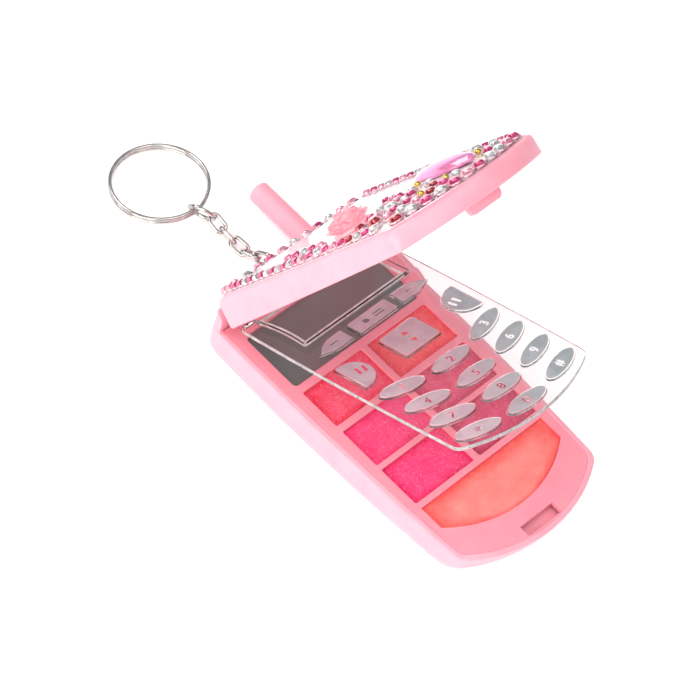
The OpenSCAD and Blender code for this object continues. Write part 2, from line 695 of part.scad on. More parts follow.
module stones(c) {
    opened(lid_open) {
        for (s = concat(near_row(), near_inner_row(), far_row(), hinge_row(), front_row(),
                        front_inner_row(), bead_row(), loose_stones))
            if (s[4] == c) on_lid(s[0], s[1]) gem(s[2], s[3]);
        for (o = ovals) if (o[5] == c) on_lid(o[0], o[1]) oval_gem(o[2], o[3], 1.5, o[4]);
    }
}
module stones_clear() { color("whitesmoke") stones(0); }
module stones_light_pink() { color("lightpink") stones(1); }
module stones_magenta() { color("mediumvioletred") stones(2); }
module stones_red() { color("red") stones(3); }
module gold_beads() { color("gold") stones(4); }

module rose() {
    color("lightpink") opened(lid_open) on_lid(-13.4, -11.2) difference() {
        union() {
            cylinder(h = 0.8, r = 5.2, $fn = 48);
            petal_ring(5.7, 4.2, 2.3);
            petal_ring(4, 2.8, 3.1);
            petal_ring(2.4, 1.5, 3.8);
            cylinder(h = 4.1, r1 = 1.1, r2 = 0.7, $fn = 32);
        }
        // gaps between the petals, turned from ring to ring
        for (k = [0:4]) rotate([0, 0, 72 * k]) translate([4.5, -0.25, 1.3]) cube([3, 0.5, 4]);
        for (k = [0:3]) rotate([0, 0, 90 * k + 30]) translate([2.9, -0.2, 2.2]) cube([1.2, 0.4, 4]);
    }
}

// cup of petals that opens upwards
module petal_ring(r_top, r_low, h) {
    difference() {
        cylinder(h = h, r1 = r_low, r2 = r_top, $fn = 48);
        translate([0, 0, 0.7]) cylinder(h = h, r1 = r_low - 0.45, r2 = r_top - 0.2, $fn = 48);
    }
}

module big_gem() {
    color("orchid") opened(lid_open) on_lid(5.8, -26.2) oval_gem(19, 8.2, 2.6, -77);
}

// key chain: each link hangs in the one before it, and the chain sags to the table
function link_dir(tilt) = [-sin(chain_yaw) * cos(tilt), cos(chain_yaw) * cos(tilt), sin(tilt)];
function hook(a, b) = (link_wire + link_gap) * (a + b) / norm(a + b);
function link_near(i) = i == 0
    ? [chain_x, lug_y + lug_r - lug_wire_r - wire_r - link_gap, chain_z]
    : link_far(i - 1) - hook(link_dir(link_tilt[i - 1]), link_dir(link_tilt[i]));
function link_far(i) = link_near(i) + (link_len - link_wire) * link_dir(link_tilt[i]);

module link(i) {
    arc_r = (link_w - link_wire) / 2;
    straight = link_len - link_w;
    color("gainsboro") translate(link_near(i)) rotate([link_tilt[i], 0, chain_yaw]) rotate([0, link_roll[i], 0]) {
        for (e = [0, 1]) translate([0, arc_r + e * straight, 0]) rotate([0, 0, e * 180 + 180])
            rotate_extrude(angle = 180, $fn = 48) translate([arc_r, 0]) circle(wire_r, $fn = 24);
        for (s = [-1, 1]) translate([s * arc_r, arc_r, 0]) rotate([-90, 0, 0])
            cylinder(h = straight, r = wire_r, $fn = 24);
    }
}
module chain_link_1() { link(0); }
module chain_link_2() { link(1); }
module chain_link_3() { link(2); }
module chain_link_4() { link(3); }
module chain_link_5() { link(4); }
module chain_link_6() { link(5); }

// upright jump ring through the last link
jump_r = jump_od / 2 - jump_wire_r;
jump_dir = [-sin(jump_yaw), cos(jump_yaw), 0];
jump_centre = link_far(5) - hook(link_dir(link_tilt[5]), jump_dir) + jump_r * jump_dir;
module jump_ring() {
    color("gainsboro") translate(jump_centre) rotate([0, 0, jump_yaw]) rotate([0, jump_roll + 90, 0])
        rotate_extrude($fn = 64) translate([jump_r, 0]) circle(jump_wire_r, $fn = 24);
}

// the split ring is two stacked turns of wire; its near side is held up by the jump ring
// and its far side lies on the table
ring_r = ring_od / 2 - ring_wire_r;
ring_half_t = ring_wire_r * 1.96;
ring_near = jump_centre + 1.4 * jump_dir + [0, 0, 0.47];
ring_tilt = asin((ring_near[2] - ring_half_t - 0.05) / (2 * ring_r));
module split_ring() {
    color("silver") translate(ring_near) rotate([-ring_tilt, 0, ring_yaw]) translate([0, ring_r, 0])
        for (s = [-1, 1]) translate([0, 0, s * (ring_half_t - ring_wire_r)])
            rotate_extrude($fn = 96) translate([ring_r, 0]) circle(ring_wire_r, $fn = 24);
}

case();
palette_tray();
mirror();
gloss_red_glitter();
gloss_coral_red();
gloss_pink();
gloss_raspberry();
gloss_hot_pink();
gloss_berry();
gloss_pan_coral();
hinge_pins();
gloss_vial();
antenna_handle();
applicator_stem();
sponge_tip();
clear_cover();
number_keys();
call_key();
end_key();
nav_key();
left_soft_key();
centre_soft_key();
right_soft_key();
lid_shell();
decor_sheet();
stones_clear();
stones_light_pink();
stones_magenta();
stones_red();
gold_beads();
rose();
big_gem();
chain_link_1();
chain_link_2();
chain_link_3();
chain_link_4();
chain_link_5();
chain_link_6();
jump_ring();
split_ring();
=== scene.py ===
"""Toy cell phone make-up compact: finishes, set stones, printed keys, light and camera.

The CAD nodes keep their places and sizes. Stones, beads, rose, gloss, keys and split ring
are rebuilt here as finer meshes on the same seats. Lengths are in metres.
"""

import math
import random

import bmesh
import bpy
import numpy
from mathutils import Matrix, Vector
from mathutils.bvhtree import BVHTree

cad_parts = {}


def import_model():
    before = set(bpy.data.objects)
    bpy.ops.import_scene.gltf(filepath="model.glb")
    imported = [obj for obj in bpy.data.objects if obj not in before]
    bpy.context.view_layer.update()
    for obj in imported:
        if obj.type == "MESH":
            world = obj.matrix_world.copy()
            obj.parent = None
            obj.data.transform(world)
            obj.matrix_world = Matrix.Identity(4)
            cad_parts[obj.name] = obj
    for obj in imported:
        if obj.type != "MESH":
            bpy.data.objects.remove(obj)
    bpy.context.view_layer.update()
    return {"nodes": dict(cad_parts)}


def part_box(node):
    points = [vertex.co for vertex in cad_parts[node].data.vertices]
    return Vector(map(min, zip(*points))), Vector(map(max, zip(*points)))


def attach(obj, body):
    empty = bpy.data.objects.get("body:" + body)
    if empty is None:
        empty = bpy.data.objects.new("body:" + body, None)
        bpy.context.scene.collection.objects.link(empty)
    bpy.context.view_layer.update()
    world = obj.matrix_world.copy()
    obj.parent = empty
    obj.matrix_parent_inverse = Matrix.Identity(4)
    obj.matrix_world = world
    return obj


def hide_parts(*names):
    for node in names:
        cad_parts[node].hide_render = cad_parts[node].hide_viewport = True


MM = 0.001
# glitter cells per metre
FLAKES = 4600
# length of the clear cover's knuckles and arms, from its hinge end
HINGE_ZONE = 6 * MM
# faces of the pearl sheet whose middle is nearer its rim than this belong to the rim
BAND_WIDTH = 1.3 * MM
# how much each stroke of a key's figure is widened on either side
MARK_WEIGHT = 0.1 * MM
# slant of the figures on the outer columns of keys, degrees
FIGURE_SLANT = 17
# the outer columns of number keys lie further than this from the middle line
COLUMN_EDGE = 7 * MM
# raised height of the rose over that of its CAD node
ROSE_STRETCH = 1.2

# opening angle of the cover and the lid as modelled, degrees
COVER_OPEN = 23.9
LID_OPEN = 63.4

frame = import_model()
NODES = frame["nodes"]
dice = random.Random(11)


# ---------------------------------------------------------------- materials


def srgb(r, g, b):
    """Linear colour from 0..255 screen values."""
    out = []
    for v in (r, g, b):
        c = v / 255
        out.append(c / 12.92 if c <= 0.04045 else ((c + 0.055) / 1.055) ** 2.4)
    return (*out, 1.0)


class Finish:
    """One material, with helpers that add and join its shader nodes."""

    def __init__(self, name):
        self.mat = bpy.data.materials.new(name)
        self.mat.use_nodes = True
        self.tree = self.mat.node_tree
        self.bsdf = self.tree.nodes["Principled BSDF"]
        self.coords = self.tree.nodes.new("ShaderNodeTexCoord").outputs["Object"]

    def node(self, kind, **settings):
        made = self.tree.nodes.new(kind)
        for key, value in settings.items():
            setattr(made, key, value)
        return made

    def join(self, source, target):
        self.tree.links.new(source, target)

    def put(self, name, value):
        """Sets a Principled input to a value or joins an output to it."""
        socket = self.bsdf.inputs[name]
        if isinstance(value, bpy.types.NodeSocket):
            self.join(value, socket)
        else:
            socket.default_value = value

    def noise(self, scale, detail=3.0, stretch=(1, 1, 1)):
        """Noise from 0 to 1; scale is in repeats per metre."""
        place = self.node("ShaderNodeMapping")
        place.inputs["Scale"].default_value = stretch
        self.join(self.coords, place.inputs["Vector"])
        made = self.node("ShaderNodeTexNoise")
        made.inputs["Scale"].default_value = scale
        made.inputs["Detail"].default_value = detail
        self.join(place.outputs["Vector"], made.inputs["Vector"])
        return made.outputs["Fac"]

    def cells(self, scale):
        """Voronoi cells: (distance, random colour)."""
        made = self.node("ShaderNodeTexVoronoi")
        made.inputs["Scale"].default_value = scale
        self.join(self.coords, made.inputs["Vector"])
        return made.outputs["Distance"], made.outputs["Color"]

    def remap(self, value, low, high, to_low=0.0, to_high=1.0):
        made = self.node("ShaderNodeMapRange")
        for key, v in zip(("From Min", "From Max", "To Min", "To Max"), (low, high, to_low, to_high)):
            made.inputs[key].default_value = v
        self.join(value, made.inputs["Value"])
        return made.outputs["Result"]

    def mix(self, factor, a, b):
        """Mixes two colours; a and b are colours or outputs."""
        made = self.node("ShaderNodeMix", data_type="RGBA")
        for socket, value in ((made.inputs[0], factor), (made.inputs[6], a), (made.inputs[7], b)):
            if isinstance(value, bpy.types.NodeSocket):
                self.join(value, socket)
            else:
                socket.default_value = value
        return made.outputs[2]

    def math(self, operation, a, b):
        made = self.node("ShaderNodeMath", operation=operation)
        for socket, value in zip(made.inputs, (a, b)):
            if isinstance(value, bpy.types.NodeSocket):
                self.join(value, socket)
            else:
                socket.default_value = value
        return made.outputs[0]

    def relief(self, height, depth_mm, strength=1.0):
        """Bump from a 0..1 height."""
        made = self.node("ShaderNodeBump")
        made.inputs["Strength"].default_value = strength
        made.inputs["Distance"].default_value = depth_mm * MM
        self.join(height, made.inputs["Height"])
        self.put("Normal", made.outputs["Normal"])

    def clear_shadows(self, tint, share):
        """Lets part of the light through for shadow rays, so that clear parts shade softly."""
        tree = self.tree
        out = tree.nodes["Material Output"]
        path = self.node("ShaderNodeLightPath")
        clear = self.node("ShaderNodeBsdfTransparent")
        clear.inputs["Color"].default_value = tint
        both = self.node("ShaderNodeMixShader")
        self.join(self.math("MULTIPLY", path.outputs["Is Shadow Ray"], share), both.inputs[0])
        self.join(self.bsdf.outputs[0], both.inputs[1])
        self.join(clear.outputs[0], both.inputs[2])
        self.join(both.outputs[0], out.inputs["Surface"])


def moulded(name, light, deep, rough=(0.3, 0.42)):
    """Glossy moulded plastic with faint mottling and a fine orange-peel surface."""
    f = Finish(name)
    f.put("Base Color", f.mix(f.remap(f.noise(160), 0.3, 0.7), light, deep))
    f.put("Roughness", f.remap(f.noise(300, 2), 0.3, 0.7, *rough))
    f.put("Coat Weight", 0.15)
    f.put("Coat Roughness", 0.12)
    f.relief(f.noise(420, 1), 0.004, 0.5)
    return f.mat


def lip_gloss(name, light, deep, edge, plain):
    """Set lip gloss, deeper along the wall; plain is the share of cells that hold no flake."""
    f = Finish(name)
    body = f.mix(f.remap(f.noise(240, 4), 0.3, 0.7), light, deep)
    wall = f.node("ShaderNodeAttribute", attribute_name="wall_near")
    fade = f.math("ADD", wall.outputs["Fac"], f.remap(f.noise(400, 3), 0.3, 0.7, -0.2, 0.1))
    body = f.mix(f.remap(fade, 0.1, 0.9), body, edge)
    distance, colour = f.cells(FLAKES)
    split = f.node("ShaderNodeSeparateColor")
    f.join(colour, split.inputs[0])
    chosen = f.math("GREATER_THAN", split.outputs[0], plain)
    near = f.math("LESS_THAN", distance, 0.4)
    flake = f.math("MULTIPLY", chosen, near)
    f.put("Base Color", f.mix(f.math("MULTIPLY", flake, 0.55), body, (1.0, 0.8, 0.85, 1)))
    f.put("Roughness", f.remap(f.noise(500), 0.3, 0.7, 0.22, 0.4))
    f.put("Subsurface Weight", 0.15)
    f.put("Subsurface Radius", (1.0, 0.3, 0.35))
    f.put("Subsurface Scale", 1.0 * MM)
    f.put("Coat Weight", 0.25)
    f.put("Coat Roughness", 0.12)
    f.relief(f.noise(330, 4), 0.05, 0.6)
    return f.mat


def metal(name, light, dark, rough=(0.08, 0.22), scale=700):
    """Bright plated metal with faint unevenness."""
    f = Finish(name)
    f.put("Base Color", f.mix(f.remap(f.noise(scale, 4), 0.3, 0.7), light, dark))
    f.put("Metallic", 1.0)
    f.put("Roughness", f.remap(f.noise(scale * 1.7, 5), 0.3, 0.7, *rough))
    f.relief(f.noise(scale * 1.3, 4), 0.01, 0.6)
    return f.mat


def clear_acrylic(name):
    """Clear moulded acrylic, faintly smudged."""
    f = Finish(name)
    f.put("Base Color", f.mix(f.noise(90), (1, 1, 1, 1), (0.985, 0.975, 0.98, 1)))
    f.put("Transmission Weight", 1.0)
    f.put("IOR", 1.49)
    f.put("Roughness", f.remap(f.noise(140, 5), 0.45, 0.8, 0.0, 0.05))
    f.relief(f.noise(120, 2), 0.015, 0.5)
    f.clear_shadows((0.97, 0.95, 0.96, 1), 0.92)
    return f.mat


def clear_edge_with_painted_highlight(name):
    """The sawn edge of the acrylic: cloudy and only partly see-through, its pale colour a painted highlight
    for the bright edge.
    """
    f = Finish(name)
    # pale colours: painted highlight standing in for light caught in the edge, over a real cloudy finish
    cloud = f.remap(f.noise(700, 4), 0.35, 0.65)
    f.put("Base Color", f.mix(cloud, srgb(240, 237, 240), srgb(196, 190, 196)))
    f.put("Transmission Weight", 0.45)
    f.put("IOR", 1.3)
    f.put("Roughness", f.remap(f.noise(600, 3), 0.3, 0.7, 0.25, 0.5))
    f.clear_shadows((0.97, 0.95, 0.96, 1), 0.9)
    return f.mat


def foil(name):
    """Hot-stamped silver foil with a soft matt bloom."""
    f = Finish(name)
    bloom = f.remap(f.noise(260, 2), 0.35, 0.65)
    f.put("Base Color", f.mix(bloom, srgb(214, 232, 236), srgb(198, 215, 220)))
    f.put("Metallic", 0.65)
    f.put("Roughness", f.remap(f.noise(300, 2), 0.3, 0.7, 0.28, 0.38))
    f.relief(f.noise(300, 1), 0.004, 0.5)
    return f.mat


def mirror_with_painted_reflection(name):
    """Mirror sheet with a few faint smears; its dull grey colour is a painted reflection of the shade under
    the lid, over a faint green tint.
    """
    f = Finish(name)
    smear = f.remap(f.noise(60, 4), 0.3, 0.8)
    # mostly diffuse dark grey-green: painted reflection of the shaded lid, not a dark plastic
    f.put("Base Color", f.mix(smear, srgb(118, 134, 132), srgb(106, 121, 120)))
    f.put("Metallic", 0.3)
    f.put("Roughness", f.remap(f.noise(130, 6, (1, 3, 1)), 0.4, 0.8, 0.08, 0.2))
    f.relief(f.noise(45, 1), 0.02, 0.4)
    return f.mat


def pearl_sheet(name):
    """High-gloss pearl white sheet under the stones."""
    f = Finish(name)
    pearl = f.remap(f.noise(220, 3), 0.3, 0.7)
    f.put("Base Color", f.mix(pearl, srgb(252, 248, 250), srgb(244, 232, 238)))
    f.put("Roughness", f.remap(f.noise(300), 0.3, 0.7, 0.05, 0.12))
    f.put("Coat Weight", 1.0)
    f.put("Coat Roughness", 0.03)
    f.put("Sheen Weight", 0.1)
    f.relief(f.noise(260, 2), 0.01, 0.4)
    return f.mat


def stone(name, bright, deep, see_through=0.25):
    """Foil-backed acrylic rhinestone: each facet takes its own random tone, a painted glint."""
    f = Finish(name)
    # random tone per facet: painted glints standing in for facets catching the light
    tone = f.node("ShaderNodeAttribute", attribute_name="facet_glint")
    grain = f.remap(f.noise(1500, 2), 0.3, 0.7, -0.15, 0.15)
    shade = f.math("ADD", tone.outputs["Fac"], grain)
    f.put("Base Color", f.mix(shade, deep, bright))
    f.put("Metallic", 0.35)
    f.put("Roughness", f.remap(f.noise(1200), 0.3, 0.7, 0.03, 0.1))
    f.put("Transmission Weight", see_through)
    f.put("IOR", 1.55)
    f.put("Coat Weight", 1.0)
    f.put("Coat Roughness", 0.03)
    return f.mat


def resin(name, light, deep, painted_glow=0.0):
    """Cast resin: satin, faintly translucent; the last argument is an emission, painted light for the light
    the resin lets through and for its lifted shade.
    """
    f = Finish(name)
    f.put("Base Color", f.mix(f.remap(f.noise(420, 4), 0.3, 0.7), light, deep))
    f.put("Roughness", f.remap(f.noise(700), 0.3, 0.7, 0.34, 0.5))
    f.put("Subsurface Weight", 0.15)
    f.put("Subsurface Radius", (1.0, 0.6, 0.6))
    f.put("Subsurface Scale", 0.4 * MM)
    # emission: painted light, the resin is no lamp
    f.put("Emission Color", deep)
    f.put("Emission Strength", painted_glow)
    f.relief(f.noise(800, 4), 0.04, 0.7)
    return f.mat


def iridescent(name):
    """Pink cabochon whose colour slides to lilac as it turns away."""
    f = Finish(name)
    facing = f.node("ShaderNodeLayerWeight")
    facing.inputs["Blend"].default_value = 0.45
    veil = f.remap(f.noise(240, 4), 0.3, 0.7)
    pink = f.mix(veil, srgb(250, 150, 195), srgb(240, 120, 170))
    f.put("Base Color", f.mix(facing.outputs["Facing"], pink, srgb(236, 176, 240)))
    f.put("Metallic", 0.25)
    f.put("Roughness", f.remap(f.noise(500), 0.3, 0.7, 0.06, 0.14))
    f.put("Coat Weight", 1.0)
    f.put("Coat Roughness", 0.03)
    f.put("Transmission Weight", 0.15)
    return f.mat


PINK = moulded("pink_plastic", srgb(254, 172, 190), srgb(251, 163, 183))
TRAY = moulded("tray_plastic", srgb(253, 156, 174), srgb(250, 148, 168))
WHITE = moulded("white_plastic", srgb(244, 242, 240), srgb(236, 232, 230))
VIAL = moulded("vial_plastic", srgb(252, 226, 226), srgb(246, 214, 216), rough=(0.12, 0.2))
SPONGE = resin("sponge", srgb(250, 240, 226), srgb(240, 226, 208))
CLEAR = clear_acrylic("clear_acrylic")
CLEAR_EDGE_HIGHLIGHT = clear_edge_with_painted_highlight("clear_edge_with_painted_highlight")
FOIL = foil("silver_foil")
MIRROR = mirror_with_painted_reflection("mirror_sheet")
PEARL = pearl_sheet("pearl_sheet")
CHROME = metal("chrome_wire", srgb(206, 204, 204), srgb(172, 169, 168))
STEEL = metal("steel_pin", srgb(190, 190, 192), srgb(160, 160, 164), (0.2, 0.34))
GOLD = metal("gold_bead", srgb(232, 205, 110), srgb(196, 165, 80), (0.1, 0.24), scale=900)
SETTING = metal("stone_setting", srgb(240, 214, 222), srgb(214, 178, 190), (0.24, 0.38), scale=900)
# the rose's emission is painted light lifting its shaded petals
ROSE = resin("rose_resin", srgb(254, 206, 214), srgb(251, 190, 202), painted_glow=0.18)
CABOCHON = iridescent("cabochon")
STONES = {
    "stones_clear": stone("stone_clear", srgb(255, 250, 252), srgb(158, 172, 174), 0.35),
    "stones_light_pink": stone("stone_light_pink", srgb(255, 196, 214), srgb(226, 112, 150)),
    "stones_magenta": stone("stone_magenta", srgb(244, 84, 156), srgb(176, 14, 92)),
    "stones_red": stone("stone_red", srgb(226, 26, 62), srgb(120, 0, 30)),
}
# colours of each gloss in the light, in the shade and along the wall, and its plain share
GLOSS_LOOKS = {
    "gloss_red_glitter": ((252, 96, 126), (249, 78, 110), (236, 40, 76), 0.86),
    "gloss_coral_red": ((254, 108, 112), (250, 88, 96), (240, 60, 72), 0.9),
    "gloss_pink": ((252, 84, 140), (248, 66, 124), (240, 44, 108), 0.9),
    "gloss_raspberry": ((230, 96, 130), (218, 78, 114), (200, 56, 96), 0.9),
    "gloss_hot_pink": ((253, 74, 134), (249, 54, 122), (232, 22, 100), 0.88),
    "gloss_berry": ((222, 80, 120), (208, 62, 104), (190, 46, 88), 0.9),
    "gloss_pan_coral": ((255, 148, 142), (254, 130, 126), (246, 88, 86), 0.985),
}
GLOSS = {node: lip_gloss(node, srgb(*light), srgb(*deep), srgb(*edge), plain)
         for node, (light, deep, edge, plain) in GLOSS_LOOKS.items()}


# ---------------------------------------------------------------- mesh tools


def paint(obj, material):
    """Gives an object one material."""
    obj.data.materials.clear()
    obj.data.materials.append(material)


def soften(node, width_mm, segments=2, angle=28, smooth=False):
    """Rounds the sharp edges of a CAD node with modifiers only."""
    obj = NODES[node]
    if smooth:
        for polygon in obj.data.polygons:
            polygon.use_smooth = True
    weld = obj.modifiers.new("weld", "WELD")
    weld.merge_threshold = 0.002 * MM
    flat = obj.modifiers.new("flatten", "DECIMATE")
    flat.decimate_type = "DISSOLVE"
    flat.angle_limit = math.radians(0.6)
    bevel = obj.modifiers.new("round", "BEVEL")
    bevel.width = width_mm * MM
    bevel.segments = segments
    bevel.limit_method = "ANGLE"
    bevel.angle_limit = math.radians(angle)
    bevel.use_clamp_overlap = True
    bevel.harden_normals = True


def new_object(name, mesh, material, body, stands_for=()):
    """Links a mesh as a piece that rides on a body, and hides the CAD nodes it stands for."""
    obj = bpy.data.objects.new(name, mesh)
    bpy.context.scene.collection.objects.link(obj)
    paint(obj, material)
    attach(obj, body)
    if stands_for:
        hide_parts(*stands_for)
    return obj


def mesh_from(bm, name, smooth=False):
    """Writes a bmesh to a new mesh."""
    bmesh.ops.recalc_face_normals(bm, faces=bm.faces)
    mesh = bpy.data.meshes.new(name)
    bm.to_mesh(mesh)
    bm.free()
    for polygon in mesh.polygons:
        polygon.use_smooth = smooth
    return mesh


def islands(node):
    """The vertex positions of each separate solid of a CAD node, in a steady order."""
    bm = bmesh.new()
    bm.from_mesh(NODES[node].data)
    bmesh.ops.remove_doubles(bm, verts=bm.verts, dist=0.002 * MM)
    bm.verts.ensure_lookup_table()
    seen, groups = set(), []
    for start in bm.verts:
        if start.index in seen:
            continue
        stack, found = [start], []
        seen.add(start.index)
        while stack:
            v = stack.pop()
            found.append(v.co.copy())
            for edge in v.link_edges:
                other = edge.other_vert(v)
                if other.index not in seen:
                    seen.add(other.index)
                    stack.append(other)
        groups.append(found)
    bm.free()

    def place(points):
        middle = sum(points, Vector()) / len(points)
        return tuple(round(c / (0.05 * MM)) for c in middle)

    return sorted(groups, key=place)


def hull(points):
    """Convex outline of 2-D points, counter-clockwise."""
    pts = sorted(set((round(x, 7), round(y, 7)) for x, y in points))

    def chain(sequence):
        out = []
        for p in sequence:
            while len(out) > 1 and turn(out[-2], out[-1], p) <= 1e-12:
                out.pop()
            out.append(p)
        return out[:-1]

    def turn(a, b, c):
        return (b[0] - a[0]) * (c[1] - a[1]) - (b[1] - a[1]) * (c[0] - a[0])

    return chain(pts) + chain(pts[::-1])


class Seat:
    """A local frame on a surface: u across, v towards the hinge, n outwards."""

    def __init__(self, origin, normal, across=Vector((1, 0, 0))):
        self.origin = origin
        self.n = normal.normalized()
        self.u = (across - self.n * across.dot(self.n)).normalized()
        self.v = self.n.cross(self.u)

    def local(self, p):
        d = p - self.origin
        return d.dot(self.u), d.dot(self.v), d.dot(self.n)

    def world(self, x, y, z):
        return self.origin + self.u * x + self.v * y + self.n * z


def centre_of(outline):
    """Mean of an outline's points."""
    return (sum(p[0] for p in outline) / len(outline), sum(p[1] for p in outline) / len(outline))


def reach_of(outline):
    """Largest distance of an outline's points from their mean."""
    centre = centre_of(outline)
    return max(math.dist(p, centre) for p in outline)


def circle(centre, radius, count):
    """Points on a circle."""
    turns = [math.tau * k / count for k in range(count)]
    return [(centre[0] + radius * math.cos(a), centre[1] + radius * math.sin(a)) for a in turns]


def ring_of(bm, seat, outline, grow, z, turn=0.0):
    """A closed ring of vertices: the outline scaled about its centre and moved on by turn steps."""
    cx, cy = centre_of(outline)
    n = len(outline)
    ring = []
    for i, (x, y) in enumerate(outline):
        x2, y2 = outline[(i + 1) % n]
        x, y = x + (x2 - x) * turn, y + (y2 - y) * turn
        ring.append(bm.verts.new(seat.world(cx + (x - cx) * grow, cy + (y - cy) * grow, z)))
    return ring


def bridge(bm, low, high):
    """Joins two rings with equal counts by quads."""
    n = len(low)
    for i in range(n):
        bm.faces.new((low[i], low[(i + 1) % n], high[(i + 1) % n], high[i]))


def facet_bridge(bm, low, high):
    """Joins two rings by triangles, the upper one lying half a step on."""
    n = len(low)
    for i in range(n):
        bm.faces.new((low[i], low[(i + 1) % n], high[i]))
        bm.faces.new((low[(i + 1) % n], high[(i + 1) % n], high[i]))


def skin(bm, rings):
    """Joins a row of rings one after another."""
    for low, high in zip(rings, rings[1:]):
        bridge(bm, low, high)


def paint_facet_glints(mesh):
    """Gives every facet its own random tone, painted glints so that stones glitter."""
    layer = mesh.attributes.new("facet_glint", "FLOAT", "FACE")
    for item in layer.data:
        item.value = dice.uniform(0.0, 1.0)


# ---------------------------------------------------------------- lid jewels


def lid_surface():
    """Search tree over the decor sheet."""
    bm = bmesh.new()
    bm.from_mesh(NODES["decor_sheet"].data)
    tree = BVHTree.FromBMesh(bm)
    bm.free()
    return tree


SHEET = lid_surface()
LID_UP = Vector((0, math.sin(math.radians(LID_OPEN)), math.cos(math.radians(LID_OPEN))))


def stone_seat(points):
    """Seat of a stone on the decor sheet, with its outline, lowest and highest level."""
    middle = sum(points, Vector()) / len(points)
    above = middle + LID_UP * 4 * MM
    spot, normal, _, _ = SHEET.ray_cast(above, -LID_UP)
    if spot is None:
        spot, normal = middle, LID_UP
    if normal.dot(LID_UP) < 0:
        normal = -normal
    seat = Seat(spot, normal)
    flat = [seat.local(p) for p in points]
    outline = hull([(x, y) for x, y, _ in flat])
    levels = [z for _, _, z in flat]
    return seat, outline, min(levels), max(levels)


def tidy_outline(outline, least=0.25 * MM):
    """Drops outline points that lie almost on top of each other."""
    kept = []
    for p in outline:
        if not kept or math.dist(p, kept[-1]) > least:
            kept.append(p)
    if len(kept) > 3 and math.dist(kept[0], kept[-1]) <= least:
        kept.pop()
    return kept


def cut_stone(bm, seat, outline, low, high):
    """A faceted crown over a straight girdle."""
    rise = high - low
    base = ring_of(bm, seat, outline, 1.0, low)
    girdle = ring_of(bm, seat, outline, 1.0, low + 0.3 * rise)
    bm.faces.new(base[::-1])
    bridge(bm, base, girdle)
    if len(outline) < 6:
        shoulder = ring_of(bm, seat, outline, 0.8, low + 0.72 * rise)
        table = ring_of(bm, seat, outline, 0.56, high)
        bridge(bm, girdle, shoulder)
        bridge(bm, shoulder, table)
    else:
        shoulder = ring_of(bm, seat, outline, 0.84, low + 0.7 * rise, 0.5)
        table = ring_of(bm, seat, outline, 0.56, high, 1.0)
        facet_bridge(bm, girdle, shoulder)
        facet_bridge(bm, shoulder, table)
    bm.faces.new(table)


def cup(bm, seat, outline, low, high):
    """The thin metal cup that holds a stone: a band with a rolled lip."""
    reach = reach_of(outline)
    outer = 1 + 0.2 * MM / reach
    inner = 1 + 0.03 * MM / reach
    foot = low - 0.05 * MM
    lip = low + 0.34 * (high - low)
    shoulder = lip - 0.08 * MM
    profile = ((outer, foot), (outer, shoulder), ((outer + inner) / 2, lip), (inner, shoulder), (inner, foot))
    rings = [ring_of(bm, seat, outline, grow, z) for grow, z in profile]
    skin(bm, rings)
    bridge(bm, rings[-1], rings[0])


def set_stones():
    """Cut stones for every CAD stone, and the metal cups under them."""
    cups = bmesh.new()
    for node, material in STONES.items():
        bm = bmesh.new()
        for points in islands(node):
            seat, outline, low, high = stone_seat(points)
            outline = tidy_outline(outline)
            cut_stone(bm, seat, outline, low, high)
            cup(cups, seat, outline, low, high)
        mesh = mesh_from(bm, node + "_cut")
        paint_facet_glints(mesh)
        new_object(node + "_cut", mesh, material, "lid", (node,))
    new_object("stone_cups", mesh_from(cups, "stone_cups", True), SETTING, "lid")


def set_beads():
    """Round metal beads on short collars."""
    bm = bmesh.new()
    # radius and height of each ring, as shares of the bead's
    profile = ((0.9, 0), (0.9, 0.12), (1, 0.2), (0.97, 0.45), (0.86, 0.66), (0.66, 0.84), (0.36, 0.96))
    for points in islands("gold_beads"):
        seat, outline, low, high = stone_seat(points)
        centre = centre_of(outline)
        around = circle(centre, reach_of(outline), 20)
        rings = [ring_of(bm, seat, around, grow, low + z * (high - low)) for grow, z in profile]
        bm.faces.new(rings[0][::-1])
        skin(bm, rings)
        top = bm.verts.new(seat.world(*centre, high))
        for i in range(len(around)):
            bm.faces.new((rings[-1][i], rings[-1][(i + 1) % len(around)], top))
    new_object("beads", mesh_from(bm, "beads", True), GOLD, "lid", ("gold_beads",))


def set_cabochon():
    """A domed oval stone with a ring of broad facets round its foot."""
    bm = bmesh.new()
    seat, outline, low, high = stone_seat(islands("big_gem")[0])
    outline = tidy_outline(outline)
    rise = high - low
    girdle = 0.22
    foot = ring_of(bm, seat, outline, 1.0, low)
    bm.faces.new(foot[::-1])
    rim = ring_of(bm, seat, outline, 1.0, low + girdle * rise)
    bridge(bm, foot, rim)
    last = rim
    for step, grow in enumerate((0.93, 0.8, 0.62, 0.4, 0.18)):
        level = low + rise * (girdle + (1 - girdle) * math.sqrt(1 - grow * grow))
        ring = ring_of(bm, seat, outline, grow, level, 0.5)
        if step == 0:
            facet_bridge(bm, last, ring)
        else:
            bridge(bm, last, ring)
        last = ring
    bm.faces.new(last)
    mesh = mesh_from(bm, "cabochon", True)
    for polygon in mesh.polygons:
        polygon.use_smooth = len(polygon.vertices) != 3
    new_object("cabochon", mesh, CABOCHON, "lid", ("big_gem",))


